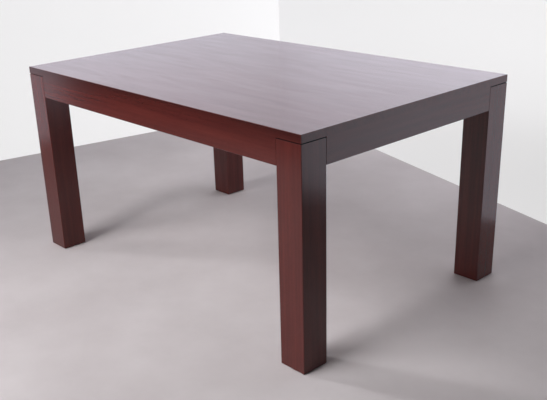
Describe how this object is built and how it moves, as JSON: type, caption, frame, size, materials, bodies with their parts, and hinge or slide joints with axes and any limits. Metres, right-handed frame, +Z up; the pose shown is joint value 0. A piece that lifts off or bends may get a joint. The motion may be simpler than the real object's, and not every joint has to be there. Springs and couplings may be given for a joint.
{
  "type": "dining table",
  "caption": "Oblong dining table in dark stained hardwood: board top, aprons and square legs finish flush, and the legs bolt to diagonal corner blocks so that they come off.",
  "frame": {"origin": "on the floor, under the middle of the top", "axes": "+X along the long sides to the right, +Y from the front to the back, +Z up"},
  "size_m": [1.5, 1, 0.75],
  "materials": {
    "lacquered_mahogany": "deep red-brown stain under a satin lacquer",
    "sealed_mahogany": "planed and sealed, not stained",
    "zinc_plated_steel": "bright zinc plate",
    "nylon": "dark brown moulded nylon"
  },
  "bodies": {
    "root": {"top_board_1": "lacquered_mahogany", "top_board_2": "lacquered_mahogany", "top_board_3": "lacquered_mahogany", "top_board_4": "lacquered_mahogany", "top_board_5": "lacquered_mahogany", "top_board_6": "lacquered_mahogany", "top_board_7": "lacquered_mahogany", "front_apron": "lacquered_mahogany", "right_apron": "lacquered_mahogany", "back_apron": "lacquered_mahogany", "left_apron": "lacquered_mahogany", "leg_front_left": "lacquered_mahogany", "leg_front_right": "lacquered_mahogany", "leg_back_right": "lacquered_mahogany", "leg_back_left": "lacquered_mahogany", "corner_block_front_left": "sealed_mahogany", "corner_block_front_right": "sealed_mahogany", "corner_block_back_right": "sealed_mahogany", "corner_block_back_left": "sealed_mahogany", "cross_rail_left": "sealed_mahogany", "cross_rail_right": "sealed_mahogany", "glue_blocks_front": "sealed_mahogany", "glue_blocks_right": "sealed_mahogany", "glue_blocks_back": "sealed_mahogany", "glue_blocks_left": "sealed_mahogany", "hanger_bolts": "zinc_plated_steel", "bolt_washers": "zinc_plated_steel", "bolt_nuts": "zinc_plated_steel", "corner_block_screws": "zinc_plated_steel", "cross_rail_screws": "zinc_plated_steel", "foot_glides": "nylon"}
  },
  "joints": []
}
